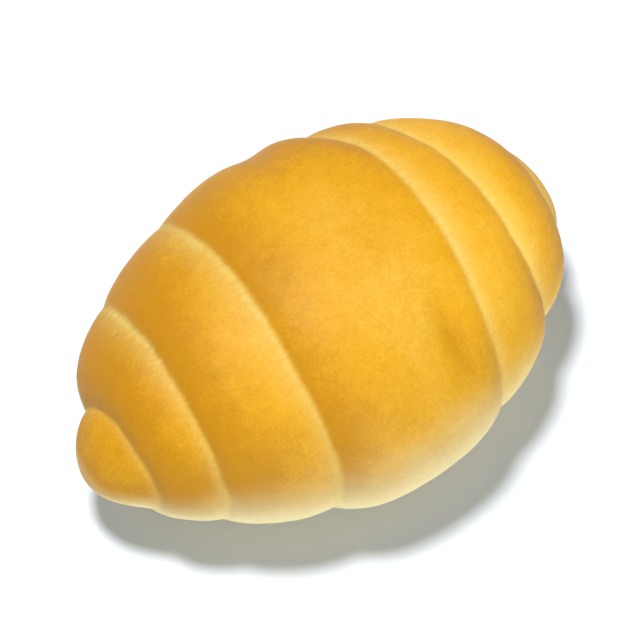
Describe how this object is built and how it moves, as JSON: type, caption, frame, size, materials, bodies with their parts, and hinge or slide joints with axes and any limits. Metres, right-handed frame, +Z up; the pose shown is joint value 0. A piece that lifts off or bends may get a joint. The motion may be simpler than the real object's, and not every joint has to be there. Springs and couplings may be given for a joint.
{
  "type": "bread roll",
  "caption": "Wound bread roll with a golden crust: a tapering strip of dough rolled up on itself, with stepped creases, narrow ends and a flat baked underside to rest on.",
  "frame": {"origin": "middle of the footprint's bounding box, on the surface that the roll rests on", "axes": "+X along the roll from its narrow end to its blunt end, +Y across it, +Z up"},
  "size_m": [0.1036, 0.0716, 0.0503],
  "materials": {
    "crust": "satin"
  },
  "bodies": {
    "root": {"bread_roll": "crust"}
  },
  "joints": []
}
